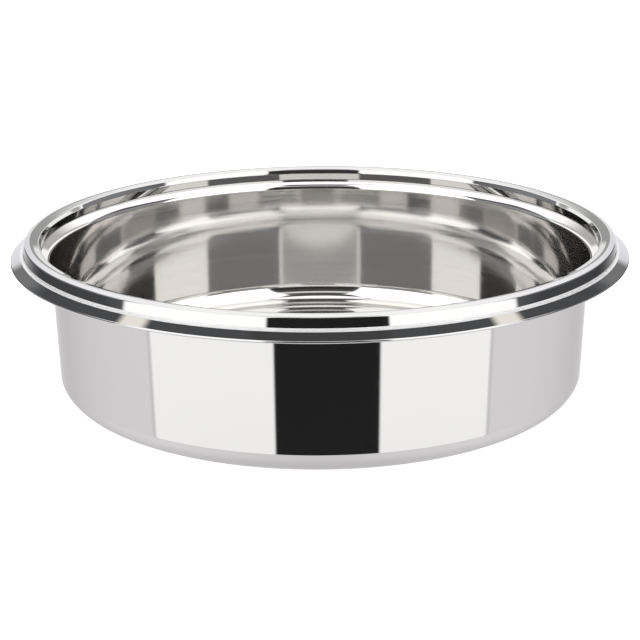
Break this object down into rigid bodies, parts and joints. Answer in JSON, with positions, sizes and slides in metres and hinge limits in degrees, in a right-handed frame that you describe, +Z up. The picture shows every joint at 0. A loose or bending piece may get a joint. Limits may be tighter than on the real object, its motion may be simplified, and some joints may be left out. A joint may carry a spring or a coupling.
{
  "type": "round stainless steel basin",
  "caption": "Shallow round polished stainless steel basin with a sloping inner seat, a raised ridge and a bevelled lip, for a buffet soup station or chafing dish.",
  "frame": {"origin": "centre of the flat underside, on the surface that the basin stands on", "axes": "+Z up along the axis of rotation, through the open mouth; the basin is round, so +X and +Y are any two horizontal directions at right angles"},
  "size_m": [0.3998, 0.3998, 0.1025],
  "materials": {
    "basin_steel": "mirror polished outside, satin polished inside",
    "rim_steel": "mirror polished"
  },
  "bodies": {
    "root": {"basin_shell": "basin_steel", "rim_ring": "rim_steel"}
  },
  "joints": []
}
